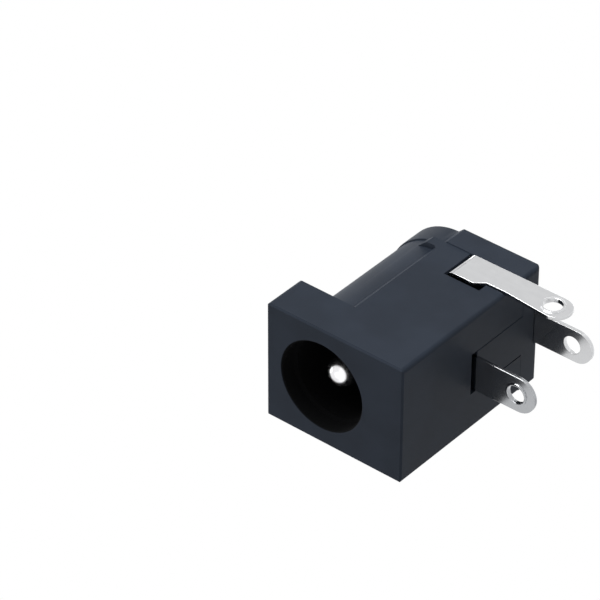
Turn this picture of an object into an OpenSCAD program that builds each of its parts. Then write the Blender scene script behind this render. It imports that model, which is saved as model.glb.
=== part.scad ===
// Board-mount dc barrel jack with a switched sleeve contact, in millimetres.
// The board face is at z = 0, the mouth faces -Y and the three tails reach down through the board.
// The origin is on the board face, on the centre line, in the plane of the flange's back.
// Depths along the jack are counted from the front face, and seat() moves them to the origin.

/* [Housing] */
// Width of the flange and the body
body_w = 9; // [8.8:0.1:10]
// Length from the front face to the rear face of the cover
body_l = 14.2; // [14:0.1:16]
// Height of the flange above the board
flange_h = 11; // [10.8:0.1:12]
// Thickness of the flange
flange_t = 3.2; // [2.6:0.1:4]
// Height of the socket's axis above the board
axis_z = 6.5; // [6.4:0.05:6.7]
// Outer diameter of the barrel behind the flange
barrel_d = 8.2; // [8:0.1:8.4]
// Height of the barrel's centre, which leaves a thicker wall over the socket
barrel_z = 6.65; // [6.5:0.05:6.8]
// Height of the flat sides of the body
side_h = 6.4; // [5.8:0.05:6.6]
// How far the shoulders slant in and up from the flat sides, ending inside the barrel
shoulder = [0.9, 1]; // [0.7:0.05:1.2]
// Height of the flat sides at the collar where the cover meets the body
collar_h = 7.3; // [6.7:0.05:7.5]
// Length of that collar
collar_l = 0.75; // [0.5:0.05:1.4]
// Radius of the hollow corner at the foot of the collar
collar_r = 0.35; // [0.2:0.05:0.6]
// Radius of the long lower edges and of the flange's corners
edge_r = 0.3; // [0.1:0.05:0.5]
// Broken edge round the front face
front_break = 0.12; // [0.05:0.01:0.25]

/* [Socket] */
// Diameter of the mouth, which guides the plug's sleeve
mouth_d = 6.5; // [6.4:0.1:6.8]
// Depth at which the mouth steps down to the bore
mouth_l = 1.1; // [0.9:0.05:1.4]
// Diameter of the bore behind the mouth
bore_d = 6.1; // [5.9:0.1:6.1]
// Broken edge round the mouth
mouth_break = 0.1; // [0.05:0.01:0.2]

/* [Centre pin] */
// Diameter of the pin
pin_d = 2; // [1.6:0.1:2.2]
// Depth of the pin's round tip behind the front face
pin_recess = 1.2; // [1.2:0.05:2.5]
// Diameter of the collar that seats on the cover's boss
pin_collar_d = 3.2; // [2.8:0.1:3.4]
// Thickness of that collar
pin_collar_t = 0.5; // [0.3:0.1:0.8]
// Diameter of the shank through the cover
shank_d = 2.3; // [2.1:0.05:2.35]
// Outer diameter of the rolled rim that holds the rear terminal
rim_d = 2.66; // [2.6:0.02:2.9]
// Height of the rolled rim above the terminal
rim_h = 0.5; // [0.3:0.05:0.6]
// How much narrower the rim is at its end
rim_taper = 0.16; // [0.08:0.02:0.2]
// Diameter of the hole in the shank's end
rivet_hole_d = 1.8; // [1.4:0.1:1.8]
// Depth of that hole below the rim
rivet_hole_l = 1.6; // [1:0.1:2.4]

/* [Rear cover] */
// Thickness of the cover
cover_t = 1.85; // [1.8:0.05:2.2]
// Diameter of the cover's round upper part
cover_d = 8.4; // [8.2:0.1:8.6]
// How far the cover's sides stand proud of the body
cover_proud = 0.08; // [0.02:0.02:0.16]
// Height of the cover's flat sides
cover_side_h = 6.25; // [5.8:0.05:6.4]
// Radius of the cover's lower rear edge
cover_foot_r = 0.4; // [0.1:0.05:0.6]
// Diameter of the boss that carries the pin
boss_d = 3.4; // [3.2:0.1:3.6]
// Length of the boss ahead of the cover
boss_l = 1.1; // [0.8:0.1:1.4]
// Width of the tongue under the body
tongue_w = 3.1; // [2.9:0.1:3.2]
// Thickness of the tongue
tongue_t = 1.3; // [1:0.1:1.4]
// Depth of the rear terminal's face below the cover's face
terminal_sunk = 0.25; // [0.1:0.05:0.4]
// Height of the side latches, and of the window that shows one of them
latch_h = 1.2; // [1:0.1:1.3]
// Thickness of the side latches
latch_t = 0.7; // [0.5:0.05:0.8]
// Length of the side latches ahead of the cover
latch_l = 1; // [0.8:0.1:1.2]
// Height of the latches' lower edges, on the plain side and on the switch side
latch_z = [3.65, 4.9]; // [3:0.05:5]
// Wall between the latches and the body's sides, on the plain side and on the switch side
latch_wall = [0.75, 0.45]; // [0.4:0.05:0.9]
// Length of the window in the cover's plain side
window_l = 0.45; // [0.3:0.05:0.7]

/* [Rear terminal] */
// Thickness of its strip
strip_t = 0.3; // [0.2:0.02:0.34]
// Width of its strip
rear_w = 2.45; // [2.3:0.05:2.9]
// Diameter of its round head
head_d = 4.2; // [3.8:0.1:4.4]
// Height of the head's flat top above the socket's axis
head_flat = 1.6; // [1.4:0.05:1.7]
// Radius of the hollow corners below the head
neck_r = 0.4; // [0.3:0.05:0.6]
// Depth of the centre of its eyelet below the board face
rear_eye = 3.05; // [2.6:0.05:3.5]
// Depth of its tip below the board face
rear_tip = 4.6; // [4.4:0.05:5]
// Height of the round dimple's centre above the board
dimple_z = 1.5; // [1:0.1:2.5]
// Diameter of the dimple
dimple_d = 1; // [0.6:0.1:1.2]

/* [Sleeve contact] */
// Thickness of the sleeve contact and of the switch contact
spring_t = 0.25; // [0.2:0.01:0.3]
// Width of the sleeve contact
sleeve_w = 2.65; // [2.3:0.05:2.8]
// Depth of the face of its tail behind the front face
sleeve_y = 7.3; // [7.2:0.02:7.5]
// Depth of the centre of its eyelet below the board face
sleeve_eye = 3.4; // [2.8:0.05:3.5]
// Depth of its tip below the board face
sleeve_tip = 4.85; // [4.6:0.05:5.1]
// Inside radius of its bends
bend_r = 0.45; // [0.3:0.05:0.6]
// Angle by which the strip folds back over its base
fold_back = 130; // [120:1:140]
// Angle and length of the turned-down end of the arm
arm_tip = [40, 0.5]; // [0.2:0.1:50]

/* [Switch contact] */
// Width of its plate
plate_w = 2.45; // [2.2:0.05:2.5]
// Width of its tail above the board face
switch_w = 1.9; // [1.8:0.05:2.1]
// Width of the tail at its round end
switch_end_w = 2.2; // [1.9:0.05:2.3]
// How far the plate stands proud of the body's side
plate_proud = 0.15; // [0.1:0.01:0.2]
// Height of the fold above the board
fold_z = 4.2; // [4.1:0.02:4.3]
// Height at which the plate begins to narrow
neck_z = 2.2; // [1.8:0.1:2.4]
// Height of the slanting edge between the plate and the tail
neck_h = 0.7; // [0.4:0.1:1]
// Inside radius of the fold
fold_r = 0.12; // [0.05:0.01:0.15]
// Depth of the centre of its eyelet below the board face
switch_eye = 3.15; // [2.6:0.05:3.5]
// Depth of its tip below the board face
switch_tip = 4.5; // [4.3:0.05:4.8]
// Depth of the recess that the plate lies in
recess_d = 0.9; // [0.5:0.1:1]

/* [Eyelets] */
// Diameter of the eyelets
eye_d = 1.3; // [1:0.05:1.4]
// Width of the raised lip round an eyelet
lip_w = 0.16; // [0.1:0.02:0.2]
// Height of that lip
lip_h = 0.08; // [0.04:0.02:0.12]

/* [Clearances] */
// Gap between the cover and what it fits into
fit_gap = 0.06; // [0.04:0.01:0.1]
// Gap round the rear terminal in its recess
recess_gap = 0.14; // [0.08:0.02:0.2]
// Gap round the pin's shank and under its rim
pin_gap = 0.02; // [0.01:0.01:0.03]
// Gap between the sleeve contact's arm and the switch contact's finger
touch_gap = 0.03; // [0.02:0.01:0.05]
// Gap ahead of a contact in the slot or window that it passes through
slot_gap = 0.25; // [0.1:0.05:0.3]
// Gap between the sleeve contact's fold and the cover
fold_gap = 0.2; // [0.1:0.05:0.3]
// Gap between the slot's front wall and the tip of the sleeve contact's arm
tip_gap = 0.6; // [0.4:0.05:0.8]

/* [Hidden] */
$fn = 96;
plastic = "#2a2c30";
plated = "#c9ccd1";
eps = 0.01;
// Far enough to cut right through
past = 20;

side_x = body_w / 2;
seam_y = body_l - cover_t;
collar_y = seam_y - collar_l;
terminal_y = body_l - terminal_sunk;
boss_y = seam_y - boss_l;
boss_bore_d = shank_d + 2 * pin_gap;

tongue_y = sleeve_y + spring_t + fit_gap;
slot_y = sleeve_y - slot_gap;
slot_w = tongue_w + 2 * fit_gap;

// The switch contact's plate lies against the cover's front face
plate_back_y = seam_y - fit_gap;
plate_front_y = plate_back_y - plate_w;
switch_y = plate_back_y - switch_end_w / 2;
plate_x = side_x + plate_proud - spring_t;
window_y = plate_front_y - slot_gap;
finger_z = fold_z - spring_t;
finger_end_x = -sleeve_w / 2;

// The sleeve contact's base ends short of the cover, and its arm short of the slot's front wall
bend = bend_r + spring_t;
base_z = tongue_t + fit_gap;
base_y = sleeve_y + bend;
base_run = seam_y - fold_gap - bend - base_y;
// The rise of the folded strip brings the top of its level arm up to the finger
rise = finger_z - touch_gap - base_z - 2 * bend;
arm_y = base_y + base_run + rise / tan(fold_back);
arm_run = arm_y - bend * sin(arm_tip[0]) - arm_tip[1] * cos(arm_tip[0]) - slot_y - tip_gap;

// ---------- shared shapes ----------

module seat() translate([0, -flange_t, 0]) children();

// Extrudes an outline drawn in X and Z from depth y0 to depth y1
module along_y(y0, y1) translate([0, y1, 0]) rotate([90, 0, 0]) linear_extrude(y1 - y0) children();

// Extrudes an outline drawn in Y and Z from x0 to x1
module along_x(x0, x1) translate([x0, 0, 0]) rotate([90, 0, 90]) linear_extrude(x1 - x0) children();

module rod(d, y0, y1) translate([0, y1, axis_z]) rotate([90, 0, 0]) cylinder(d = d, h = y1 - y0);

module taper(d0, d1, y0, y1)
    translate([0, y0, axis_z]) rotate([-90, 0, 0]) cylinder(d1 = d0, d2 = d1, h = y1 - y0);

// A box about the centre line, given by its width, its depths and its heights
module block(w, y0, y1, z0, z1) translate([-w / 2, y0, z0]) cube([w, y1 - y0, z1 - z0]);

// A rectangle standing on z = 0, with rounded lower corners
module foot_block(w, h) {
    translate([-w / 2, edge_r]) square([w, h - edge_r]);
    translate([-w / 2 + edge_r, 0]) square([w - 2 * edge_r, h]);
    for (side = [-1, 1])
        translate([side * (w / 2 - edge_r), edge_r]) circle(r = edge_r);
}

// The body in section: flat sides up to a height, slanted shoulders, and the barrel above them
module body_outline(w, sides, d) {
    foot_block(w, sides);
    polygon([[-w / 2, sides], [w / 2, sides], [w / 2 - shoulder[0], sides + shoulder[1]],
        [shoulder[0] - w / 2, sides + shoulder[1]]]);
    translate([0, barrel_z]) circle(d = d);
}

// A straight tail that hangs from a height to its round end, with the eyelet on its centre line
module tail_outline(w, top, eye, tip) difference() {
    union() {
        translate([-w / 2, w / 2 - tip]) square([w, top + tip - w / 2]);
        translate([0, w / 2 - tip]) circle(d = w);
    }
    translate([0, -eye]) circle(d = eye_d);
}

module lip_outline(eye) translate([0, -eye]) difference() {
    circle(d = eye_d + 2 * lip_w);
    circle(d = eye_d);
}

// A strip that runs and bends by turns, each step being a run, an angle and an inside radius.
// It starts along +Y on z = 0 and bends towards +Z where the angle is positive.
module bent_strip(steps, w, t, i = 0) if (i < len(steps)) {
    run = steps[i][0];
    turn = steps[i][1];
    r = steps[i][2];
    hub = turn > 0 ? t + r : -r;
    translate([-w / 2, -eps, 0]) cube([w, run + 2 * eps, t]);
    if (turn != 0) translate([-w / 2, run, hub]) rotate([0, 90, 0])
        rotate([0, 0, turn > 0 ? 0 : turn + 180])
            rotate_extrude(angle = abs(turn)) translate([r, 0]) square([t, w]);
    translate([0, run, hub]) rotate([turn, 0, 0]) translate([0, 0, -hub]) bent_strip(steps, w, t, i + 1);
}

// ---------- housing ----------

module flange_outline() {
    foot_block(body_w, flange_h / 2);
    translate([0, flange_h]) mirror([0, 1]) foot_block(body_w, flange_h / 2);
}

// The collar's front edge rises from the body's flat side by a hollow corner
module collar_side_outline() {
    translate([collar_y, side_h]) square([collar_l, past]);
    difference() {
        translate([collar_y - collar_r, side_h]) square([collar_r + eps, collar_r]);
        translate([collar_y - collar_r, side_h + collar_r]) circle(r = collar_r);
    }
}

module front_edge_cut() {
    c = front_break * sqrt(2);
    for (side = [-1, 1]) translate([side * side_x, 0, flange_h / 2]) rotate([0, 0, 45])
        cube([c, c, flange_h + 2], center = true);
    for (z = [0, flange_h]) translate([0, 0, z]) rotate([45, 0, 0])
        cube([body_w + 2, c, c], center = true);
}

module socket_cut() {
    step = (mouth_d - bore_d) / 2;
    taper(mouth_d + 2 * (mouth_break + eps), mouth_d, -eps, mouth_break);
    rod(mouth_d, mouth_break - eps, mouth_l);
    taper(mouth_d, bore_d, mouth_l, mouth_l + step);
    rod(bore_d, mouth_l, seam_y + 1);
}

// The slot in the floor that takes the sleeve contact and the cover's tongue from behind
module floor_slot() block(slot_w, slot_y, past, -1, axis_z - 1);

// The recess in the side for the switch contact's plate, the groove for its tail
// and the window through the wall for its finger
module switch_recess() {
    translate([side_x - recess_d, window_y, neck_z - neck_h])
        cube([past, past, fold_z + slot_gap / 2 - neck_z + neck_h]);
    translate([plate_x - fit_gap, plate_back_y - switch_w - fit_gap, -1])
        cube([past, past, neck_z + 1]);
    translate([finger_end_x - slot_gap, window_y, finger_z - slot_gap])
        cube([past, past, spring_t + 1.5 * slot_gap]);
}

function latch_x(i) = i == 0 ? -side_x + latch_wall[0] : side_x - latch_wall[1] - latch_t;

module latches(gap) for (i = [0, 1])
    translate([latch_x(i) - gap, seam_y - latch_l - gap, latch_z[i] - gap])
        cube([latch_t + 2 * gap, latch_l + gap + eps, latch_h + 2 * gap]);

module housing() color(plastic) seat() difference() {
    union() {
        along_y(0, flange_t) flange_outline();
        along_y(flange_t - eps, seam_y) body_outline(body_w, side_h, barrel_d);
        intersection() {
            along_y(collar_y - collar_r, seam_y) body_outline(body_w, collar_h, barrel_d);
            along_x(-past, past) collar_side_outline();
        }
    }
    front_edge_cut();
    socket_cut();
    floor_slot();
    switch_recess();
    latches(fit_gap);
}

// ---------- rear cover ----------

// The rear terminal's outline, or its recess where it is grown by a gap
module rear_outline(grow) {
    w = rear_w + 2 * grow;
    head_r = head_d / 2 + grow;
    fillet = neck_r - grow;
    fillet_x = w / 2 + fillet;
    drop = sqrt(pow(head_r + fillet, 2) - pow(fillet_x, 2));
    intersection() {
        translate([0, axis_z]) circle(r = head_r);
        translate([-head_r, axis_z - head_r]) square([2 * head_r, head_r + head_flat + grow]);
    }
    difference() {
        union() {
            translate([-w / 2, 0]) square([w, axis_z]);
            polygon([[-fillet_x, axis_z - drop], [fillet_x, axis_z - drop], [0, axis_z]]);
        }
        for (side = [-1, 1]) translate([side * fillet_x, axis_z - drop]) circle(r = fillet);
    }
}

module cover_side_outline() {
    translate([seam_y, cover_foot_r]) square([cover_t, past]);
    translate([seam_y, 0]) square([cover_t - cover_foot_r, past]);
    translate([body_l - cover_foot_r, cover_foot_r]) circle(r = cover_foot_r);
}

// The tongue's end follows the sleeve contact's first bend
module tongue_side_outline() {
    nose_r = bend_r - fit_gap;
    translate([tongue_y, 0]) square([seam_y + eps - tongue_y, tongue_t - nose_r]);
    translate([tongue_y + nose_r, 0]) square([seam_y + eps - tongue_y - nose_r, tongue_t]);
    translate([tongue_y + nose_r, tongue_t - nose_r]) circle(r = nose_r);
}

module rear_cover() color(plastic) seat() difference() {
    union() {
        intersection() {
            along_y(seam_y, body_l) body_outline(body_w + 2 * cover_proud, cover_side_h, cover_d);
            along_x(-past, past) cover_side_outline();
        }
        rod(boss_d, boss_y, seam_y + eps);
        along_x(-tongue_w / 2, tongue_w / 2) tongue_side_outline();
        latches(0);
    }
    rod(boss_bore_d, boss_y - 1, past);
    along_y(terminal_y - strip_t - pin_gap, past) {
        rear_outline(recess_gap);
        translate([-rear_w / 2 - recess_gap, -1]) square([rear_w + 2 * recess_gap, 2]);
    }
    translate([-past, seam_y - 1, latch_z[0]])
        cube([past + latch_x(0), 1 + window_l, latch_h]);
}

// ---------- centre pin ----------

module centre_pin() color(plated) seat() difference() {
    rim_y = terminal_y + pin_gap;
    union() {
        translate([0, pin_recess + pin_d / 2, axis_z]) sphere(d = pin_d);
        rod(pin_d, pin_recess + pin_d / 2, boss_y);
        rod(pin_collar_d, boss_y - pin_gap - pin_collar_t, boss_y - pin_gap);
        rod(shank_d, boss_y - pin_gap - eps, rim_y + rim_h);
        taper(rim_d, rim_d - rim_taper, rim_y, rim_y + rim_h);
    }
    rod(rivet_hole_d, rim_y + rim_h - rivet_hole_l, past);
}

// ---------- contacts ----------

module rear_terminal() color(plated) seat() difference() {
    along_y(terminal_y - strip_t, terminal_y) {
        rear_outline(0);
        tail_outline(rear_w, 1, rear_eye, rear_tip);
    }
    rod(boss_bore_d, boss_y, past);
    translate([0, terminal_y + eps, dimple_z]) rotate([90, 0, 0]) cylinder(d = dimple_d, h = strip_t / 3);
}

module sleeve_contact() color(plated) seat() {
    steps = [
        [base_z - bend_r, -90, bend_r],
        [base_run, fold_back, bend_r],
        [rise / sin(fold_back), 180 - fold_back, bend_r],
        [arm_run, arm_tip[0], bend_r],
        [arm_tip[1], 0, 0]
    ];
    along_y(sleeve_y, sleeve_y + spring_t) tail_outline(sleeve_w, eps, sleeve_eye, sleeve_tip);
    along_y(sleeve_y - lip_h, sleeve_y + eps) lip_outline(sleeve_eye);
    translate([0, sleeve_y + spring_t, 0]) rotate([90, 0, 0]) bent_strip(steps, sleeve_w, spring_t);
}

// The plate, its slanting edge and its tail, which widens on one side below the board face
module plate_outline() difference() {
    end_z = switch_end_w / 2 - switch_tip;
    union() {
        translate([plate_front_y, neck_z]) square([plate_w, fold_z - neck_z - spring_t - fold_r]);
        polygon([[plate_front_y, neck_z], [plate_back_y - switch_w, neck_z - neck_h],
            [plate_back_y - switch_w, 0], [plate_back_y - switch_end_w, end_z],
            [plate_back_y, end_z], [plate_back_y, neck_z]]);
        translate([switch_y, end_z]) circle(d = switch_end_w);
    }
    translate([switch_y, -switch_eye]) circle(d = eye_d);
}

module switch_contact() color(plated) seat() {
    bend_z = fold_z - spring_t - fold_r;
    along_x(plate_x, plate_x + spring_t) plate_outline();
    along_x(plate_x + spring_t - eps, plate_x + spring_t + lip_h)
        translate([switch_y, 0]) lip_outline(switch_eye);
    translate([plate_x, plate_back_y - plate_w / 2, bend_z - fold_r]) rotate([90, 0, 90])
        bent_strip([[fold_r, -90, fold_r], [plate_x - fold_r - finger_end_x, 0, 0]], plate_w, spring_t);
}

housing();
rear_cover();
centre_pin();
rear_terminal();
sleeve_contact();
switch_contact();
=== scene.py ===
# %% [markdown]
# # A board-mount dc barrel jack
# The jack is six pieces: a moulded housing, a moulded rear cover, a turned pin and three contacts that
# were punched from plated strip. The CAD nodes hold every size, so this lesson loads them first as a
# fixed frame. It then adds what solids leave out: softened edges, a moulded grain and a plated shine.

# %% Load the frame
import math

import bmesh
import bpy
from mathutils import Matrix, Vector


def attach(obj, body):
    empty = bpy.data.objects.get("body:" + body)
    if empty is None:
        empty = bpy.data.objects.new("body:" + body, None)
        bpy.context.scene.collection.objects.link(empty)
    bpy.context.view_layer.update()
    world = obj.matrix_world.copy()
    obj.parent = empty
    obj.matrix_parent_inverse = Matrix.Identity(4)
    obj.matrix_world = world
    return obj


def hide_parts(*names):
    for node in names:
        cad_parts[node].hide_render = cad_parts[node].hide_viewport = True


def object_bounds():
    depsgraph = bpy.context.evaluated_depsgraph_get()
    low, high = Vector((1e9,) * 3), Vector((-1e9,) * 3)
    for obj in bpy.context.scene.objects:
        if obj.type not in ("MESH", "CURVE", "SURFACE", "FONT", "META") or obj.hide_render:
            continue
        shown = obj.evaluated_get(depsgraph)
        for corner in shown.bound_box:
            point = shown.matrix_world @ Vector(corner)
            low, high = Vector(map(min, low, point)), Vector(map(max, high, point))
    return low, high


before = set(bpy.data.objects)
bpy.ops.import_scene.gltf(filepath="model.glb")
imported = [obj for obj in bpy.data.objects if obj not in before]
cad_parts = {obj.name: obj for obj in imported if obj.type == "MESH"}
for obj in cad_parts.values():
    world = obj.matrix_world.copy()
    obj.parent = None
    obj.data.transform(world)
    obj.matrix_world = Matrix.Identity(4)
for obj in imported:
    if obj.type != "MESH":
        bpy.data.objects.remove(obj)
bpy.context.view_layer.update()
MM = 0.001

# %% [markdown]
# ## Shader maths as Python
# A material is a formula drawn with nodes and wires. Drawing every Math node by hand hides the formula,
# so a small class wraps one output socket and gives it the usual operators. The reflected forms let a
# plain number stand on the left, as in `1 - mask`.

# %% A socket that does arithmetic


class Wire:
    """One output socket, with the operators that add Math nodes."""

    def __init__(self, paint, socket):
        self.paint = paint
        self.socket = socket

    def _math(self, operation, first, second):
        return self.paint.node("ShaderNodeMath", {"operation": operation}, {0: first, 1: second})

    def __add__(self, other):
        return self._math("ADD", self, other)

    def __radd__(self, other):
        return self._math("ADD", other, self)

    def __sub__(self, other):
        return self._math("SUBTRACT", self, other)

    def __rsub__(self, other):
        return self._math("SUBTRACT", other, self)

    def __mul__(self, other):
        return self._math("MULTIPLY", self, other)

    def __rmul__(self, other):
        return self._math("MULTIPLY", other, self)


print("wires can be added, subtracted and multiplied")

# %% [markdown]
# ## One method for every other node
# `Paint` holds one material while it is built. Its `node` method takes a type, the settings and the
# socket values, so every node is made the same way. `place` reads Object coordinates in millimetres:
# a grain that is tied to the object keeps its size on every piece and stays put when it is moved.

# %% A material under construction


class Paint:
    """A material under construction."""

    def __init__(self, name, tree=None):
        if tree is None:
            self.material = bpy.data.materials.new(name)
            self.material.use_nodes = True
            tree = self.material.node_tree
        self.tree = tree
        self.tree.nodes.clear()

    def node(self, kind, settings=None, inputs=None, output=0):
        made = self.tree.nodes.new(kind)
        for key, value in (settings or {}).items():
            setattr(made, key, value)
        for key, value in (inputs or {}).items():
            if isinstance(value, Wire):
                self.tree.links.new(value.socket, made.inputs[key])
            else:
                made.inputs[key].default_value = value
        return Wire(self, made.outputs[output]) if made.outputs else None

    def place(self, scale=(1, 1, 1), shift=(0, 0, 0)):
        """Object coordinates in millimetres, stretched and then shifted."""
        where = self.node("ShaderNodeTexCoord", output="Object")
        return self.node("ShaderNodeMapping", None, {
            "Vector": where, "Location": shift, "Scale": [s / MM for s in scale]})

    def noise(self, vector, scale, detail=2.0, roughness=0.5):
        return self.node("ShaderNodeTexNoise", None, {
            "Vector": vector, "Scale": scale, "Detail": detail, "Roughness": roughness})

    def spread(self, value, low, high):
        """Stretches the span from low to high over 0 to 1, with soft ends."""
        return self.node("ShaderNodeMapRange", {"interpolation_type": "SMOOTHSTEP"}, {
            "Value": value, "From Min": low, "From Max": high})

    def blend(self, factor, first, second):
        """A colour between two others, each a wire or three numbers."""
        ends = [c if isinstance(c, Wire) else (*c, 1.0) for c in (first, second)]
        return self.node("ShaderNodeMix", {"data_type": "RGBA"}, {
            0: factor, 6: ends[0], 7: ends[1]}, output=2)

    def bump(self, height, depth_mm):
        return self.node("ShaderNodeBump", None, {"Height": height, "Distance": depth_mm * MM})

    def surface(self, inputs):
        shader = self.node("ShaderNodeBsdfPrincipled", None, inputs)
        self.node("ShaderNodeOutputMaterial", None, {"Surface": shader})
        print("material", self.material.name, "with", len(self.tree.nodes), "nodes")
        return self.material


# %% [markdown]
# ## Edges that catch the light
# No moulded or punched edge is perfectly sharp, and the thin bright line along it is what makes a small
# part look real. The line could be painted on, but a narrow Bevel modifier turns with the light by
# itself. Each CAD mesh is copied and its doubled corners merged, so that the bevel finds whole edges.

# %% Soften a copy of a CAD node
MERGE_M = 1e-7
FLAT_DEGREES = 0.3
EDGE_DEGREES = 30
EDGE_STEPS = 3


def softened(node, width_mm, material):
    """Puts a copy of the CAD node in its place, with bevelled edges and a material."""
    shape = bmesh.new()
    shape.from_mesh(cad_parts[node].data)
    bmesh.ops.remove_doubles(shape, verts=shape.verts, dist=MERGE_M)
    bmesh.ops.dissolve_limit(
        shape, angle_limit=math.radians(FLAT_DEGREES), verts=shape.verts, edges=shape.edges)
    for face in shape.faces:
        face.smooth = True
    mesh = bpy.data.meshes.new(node + "_soft")
    shape.to_mesh(mesh)
    shape.free()
    mesh.materials.append(material)
    piece = bpy.data.objects.new(node + "_soft", mesh)
    bpy.context.scene.collection.objects.link(piece)
    bevel = piece.modifiers.new("edges", "BEVEL")
    bevel.width = width_mm * MM
    bevel.segments = EDGE_STEPS
    bevel.limit_method = "ANGLE"
    bevel.angle_limit = math.radians(EDGE_DEGREES)
    piece.modifiers.new("shading", "WEIGHTED_NORMAL")
    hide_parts(node)
    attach(piece, "root")
    print(node, "softened by", width_mm, "mm,", len(mesh.polygons), "faces before its bevel")
    return piece


# %% [markdown]
# ## Black moulded plastic
# The housing and the cover are moulded from glass-filled plastic, a blue-black with a fine satin grain.
# Plain black would look like a hole, so the colour keeps a little blue and drifts slightly where the
# melt flowed. The grain goes into both Roughness and Bump, because small pits scatter and shade at once.
# Inside the socket no light reaches the wall, so the wall's colour is darkened near the axis as painted
# shade.

# %% Mix the plastic
SATIN = (0.0180, 0.0235, 0.0340)
SATIN_DARK = (0.0148, 0.0193, 0.0279)
# SHADE is the near black of the painted shade inside the socket.
SHADE = (0.0012, 0.0013, 0.0015)
SPECULAR = 0.06
AXIS_Z_MM = 6.5
SOCKET_R_MM = 3.3
FADE_MM = 0.06


def moulded_plastic(name, socket=False):
    """Satin black plastic, with painted shade darkening the socket around the pin's axis where that is
    asked for.
    """
    paint = Paint(name)
    here = paint.place()
    grain = paint.noise(here, 9.0, 3.0, 0.6)
    clouds = paint.noise(here, 0.35, 2.0)
    colour = paint.blend(paint.spread(clouds, 0.3, 0.7), SATIN_DARK, SATIN)
    roughness = 0.38 + 0.1 * grain + 0.06 * clouds
    if socket:
        # Painted shade: within the socket's radius of the axis, the wall's colour turns near black.
        around = paint.place((1, 0, 1), (0, 0, -AXIS_Z_MM))
        reach = paint.node("ShaderNodeVectorMath", {"operation": "LENGTH"}, {0: around}, output=1)
        inside = 1 - paint.spread(reach, SOCKET_R_MM, SOCKET_R_MM + FADE_MM)
        colour = paint.blend(inside, colour, SHADE)
        roughness = roughness + 0.45 * inside
    return paint.surface({
        "Base Color": colour, "Roughness": roughness, "IOR": 1.5, "Specular IOR Level": SPECULAR,
        "Normal": paint.bump(grain, 0.004)})


housing_plastic = moulded_plastic("housing_satin", socket=True)
cover_plastic = moulded_plastic("cover_satin")

# %% [markdown]
# ## The housing
# The housing is one moulding: a square flange, a barrel with the socket, and flat sides that stand on
# the board. Its mould was cut with small radii, so its edges are the softest of all the pieces.

# %% Place the housing
HOUSING_EDGE_MM = 0.1
softened("housing", HOUSING_EDGE_MM, housing_plastic)

# %% [markdown]
# ## The rear cover
# The cover closes the back and grips the housing with two latches. It comes from the same plastic but
# has crisper edges, and a narrow bevel leaves the seam between the two mouldings as a fine dark line.

# %% Place the rear cover
COVER_EDGE_MM = 0.06
softened("rear_cover", COVER_EDGE_MM, cover_plastic)

# %% [markdown]
# ## The turned pin
# The pin is turned on a lathe and plated, so it is smooth, bright and marked with faint rings around its
# axis. The rings could be modelled as grooves, but they are far finer than any edge here. A noise that
# runs quickly along the axis and hardly across it gives them, as roughness and a very shallow bump.

# %% Mix the turned metal and place the pin
PIN_EDGE_MM = 0.04
PIN_METAL = ((0.80, 0.80, 0.81), (0.88, 0.88, 0.89))
paint = Paint("turned_metal")
rings = paint.noise(paint.place((0.2, 12.0, 0.2)), 1.0, 2.0)
turned_metal = paint.surface({
    "Base Color": paint.blend(rings, *PIN_METAL), "Metallic": 1.0, "Roughness": 0.2 + 0.08 * rings,
    "Normal": paint.bump(rings, 0.0008)})
softened("centre_pin", PIN_EDGE_MM, turned_metal)

# %% [markdown]
# ## Plated strip
# The three contacts are punched from rolled strip and tin plated. Rolling leaves faint lines along the
# strip and the plating adds soft patches. A plated face is close to a mirror: it turns dark where it
# looks at the black plastic and light where it looks at the room, so its roughness stays low and the
# lines stay weak. A stretched noise makes the lines.

# %% Mix the plated strip
BRIGHT_TIN = ((0.57, 0.575, 0.585), (0.64, 0.645, 0.655))
# Painted shade: these darker tones stand for the shade on the sleeve contact's tail under the body.
SHADED_TIN = ((0.39, 0.40, 0.415), (0.46, 0.47, 0.485))
STRIP_ROUGHNESS = 0.1


def plated_strip(name, tones):
    """Plated strip with faint lines along Z, between two tones."""
    paint = Paint(name)
    streaks = paint.noise(paint.place((3.0, 3.0, 0.5)), 1.0, 3.0, 0.6)
    patches = paint.noise(paint.place(), 1.5, 3.0)
    return paint.surface({
        "Base Color": paint.blend(0.4 * streaks + 0.6 * patches, *tones), "Metallic": 1.0,
        "Roughness": STRIP_ROUGHNESS + 0.05 * streaks + 0.07 * patches,
        "Normal": paint.bump(streaks, 0.00015)})


bright_strip = plated_strip("bright_tin_strip", BRIGHT_TIN)
shaded_strip = plated_strip("shaded_tin_strip", SHADED_TIN)

# %% [markdown]
# ## The rear terminal
# This flat strip lies on the cover under the rolled end of the pin and carries the pin's current down to
# the board. Punching rounds one edge of a strip and leaves the other square, and a bevel of a tenth of
# the thickness stands for both.

# %% Place the rear terminal
STRIP_EDGE_MM = 0.03
softened("rear_terminal", STRIP_EDGE_MM, bright_strip)

# %% [markdown]
# ## The sleeve contact
# The sleeve contact is a bent spring that touches the plug's outside. Only its tail shows under the
# body, with a coined ring around the eyelet. The CAD node has the whole bend, so a softened copy keeps
# the arm inside the socket true as well. Its strip gets a darker grey than the other contacts, as
# painted shade for the tail in the shade under the body.

# %% Place the sleeve contact
# The sleeve contact takes the darker strip, whose tones are painted shade.
softened("sleeve_contact", STRIP_EDGE_MM, shaded_strip)

# %% [markdown]
# ## The switch contact
# The plate on the side is the switch contact, folded in through the wall to rest on the sleeve contact
# until a plug parts them. It stands a little proud of the wall and is the brightest face of the jack.

# %% Place the switch contact
softened("switch_contact", STRIP_EDGE_MM, bright_strip)

# %% [markdown]
# ## The camera
# The jack is seen from below the board face, towards its mouth and its switch side, so that the mouth
# and all three tails show. A long lens from far off keeps parallel edges nearly parallel, as is usual
# for pictures of small parts. The camera is rolled about its own line of sight.

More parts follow.
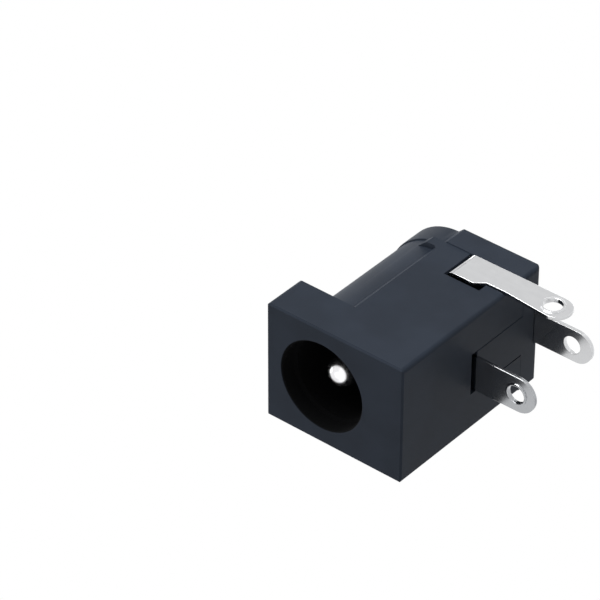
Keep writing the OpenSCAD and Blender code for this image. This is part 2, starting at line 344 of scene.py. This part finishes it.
# %% Set the camera
low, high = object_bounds()
AIM = Vector((5.197, -2.373, 8.950)) * MM
STAND_DEGREES = (44.23, -30.754)
DISTANCE = 0.23832
ROLL_DEGREES = -63.36
LENS_MM = 227.88
SENSOR_MM = 36.0


def direction(azimuth, elevation):
    """The unit vector from the object towards something at that azimuth and elevation in degrees."""
    across, up = math.radians(azimuth), math.radians(elevation)
    return Vector((
        math.sin(across) * math.cos(up), -math.cos(across) * math.cos(up), math.sin(up)))


back = direction(*STAND_DEGREES)
camera = bpy.data.objects.new("camera", bpy.data.cameras.new("camera"))
camera.data.lens = LENS_MM
camera.data.sensor_width = SENSOR_MM
camera.data.clip_start = 0.01
camera.data.clip_end = 20.0
roll = Matrix.Rotation(math.radians(ROLL_DEGREES), 3, "Z")
look = (-back).to_track_quat("-Z", "Y").to_matrix() @ roll
camera.matrix_world = Matrix.Translation(AIM + back * DISTANCE) @ look.to_4x4()
bpy.context.scene.collection.objects.link(camera)
bpy.context.scene.camera = camera
print("camera at", [round(c / MM, 1) for c in camera.location], "mm")

# %% [markdown]
# ## The floor
# Seen from above, the jack stands on white paper that holds its shadow. A single flat disc is enough for
# that, laid a hair under the lowest tail so that the two never touch.

# %% Lay the floor
FLOOR_R = 1.2
FLOOR_GAP_MM = 0.02
floor_z = low.z - FLOOR_GAP_MM * MM
shape = bmesh.new()
bmesh.ops.create_circle(shape, cap_ends=True, segments=96, radius=FLOOR_R)
bmesh.ops.translate(shape, verts=shape.verts, vec=(0, 0, floor_z))
floor_mesh = bpy.data.meshes.new("floor")
shape.to_mesh(floor_mesh)
shape.free()
floor = bpy.data.objects.new("floor", floor_mesh)
bpy.context.scene.collection.objects.link(floor)
floor.visible_shadow = False
print("floor at z", round(floor_z / MM, 2), "mm")

# %% [markdown]
# ## Paper that is clear from below
# The camera looks up from under the floor, where a solid sheet would hide everything, so the paper is
# clear from its back. Part of its white is its own glow, which the camera and shiny surfaces see and
# spread light does not, so the paper never lights the jack from underneath.

# %% Paint the floor
PAPER = (0.6, 0.6, 0.6, 1.0)
GLOW = 0.55


def seen_directly(paint):
    """1 for rays from the camera, from a reflection or through glass, and 0 for light that spreads."""
    rays = ["Is Camera Ray", "Is Glossy Ray", "Is Transmission Ray"]
    camera_ray, glossy_ray, through_ray = [
        paint.node("ShaderNodeLightPath", output=name) for name in rays]
    return camera_ray + glossy_ray + through_ray


paint = Paint("floor_paper")
paper = paint.node("ShaderNodeBsdfDiffuse", None, {"Color": PAPER})
glow = paint.node("ShaderNodeEmission", None, {"Strength": GLOW * seen_directly(paint)})
white = paint.node("ShaderNodeAddShader", None, {0: paper, 1: glow})
clear = paint.node("ShaderNodeBsdfTransparent")
behind = paint.node("ShaderNodeNewGeometry", output="Backfacing")
sheet = paint.node("ShaderNodeMixShader", None, {0: behind, 1: white, 2: clear})
paint.node("ShaderNodeOutputMaterial", None, {"Surface": sheet})
floor_mesh.materials.append(paint.material)
print("floor paper with", len(paint.tree.nodes), "nodes")

# %% [markdown]
# ## The softboxes
# Black plastic shows its form by which face is lighter. The key light faces the switch side, the top
# light runs along the barrel, and weaker ones keep the mouth side and the back readable. Large discs
# close to the part make soft edges, and the watts are small because the part is.

# %% Hang the softboxes
middle = (low + high) / 2
AWAY, DISC = 0.4, 0.3
LAMPS = {
    "key": (80, 20, 2),
    "top": (-20, 75, 0.7),
    "fill": (-5, 0, 0.15),
    "back": (180, 25, 0.5),
}
for name, (azimuth, elevation, watts) in LAMPS.items():
    lamp = bpy.data.lights.new(name, "AREA")
    lamp.shape = "DISK"
    lamp.size = DISC
    lamp.energy = watts
    towards = direction(azimuth, elevation)
    holder = bpy.data.objects.new(name, lamp)
    turn = (-towards).to_track_quat("-Z", "Y").to_matrix().to_4x4()
    holder.matrix_world = Matrix.Translation(middle + towards * AWAY) @ turn
    bpy.context.scene.collection.objects.link(holder)
    print(name, "lamp,", watts, "W")

# %% [markdown]
# ## The white room
# The background is white because the camera, and every shiny surface, sees the world at a strength of 1.
# Light that spreads from the world is weaker, so the plastic keeps its depth. Raising the lamps until
# the background turned white would have washed the plastic out.

# %% Paint the world
AMBIENT = 0.3
world = bpy.data.worlds.new("studio")
bpy.context.scene.world = world
world.use_nodes = True
room = Paint("room", world.node_tree)
strength = AMBIENT + (1 - AMBIENT) * seen_directly(room)
sky = room.node("ShaderNodeBackground", None, {"Color": (1, 1, 1, 1), "Strength": strength})
room.node("ShaderNodeOutputWorld", None, {"Surface": sky})
bpy.context.scene.view_settings.view_transform = "Standard"
print("world strength", AMBIENT, "for spread light and 1 where it is seen")
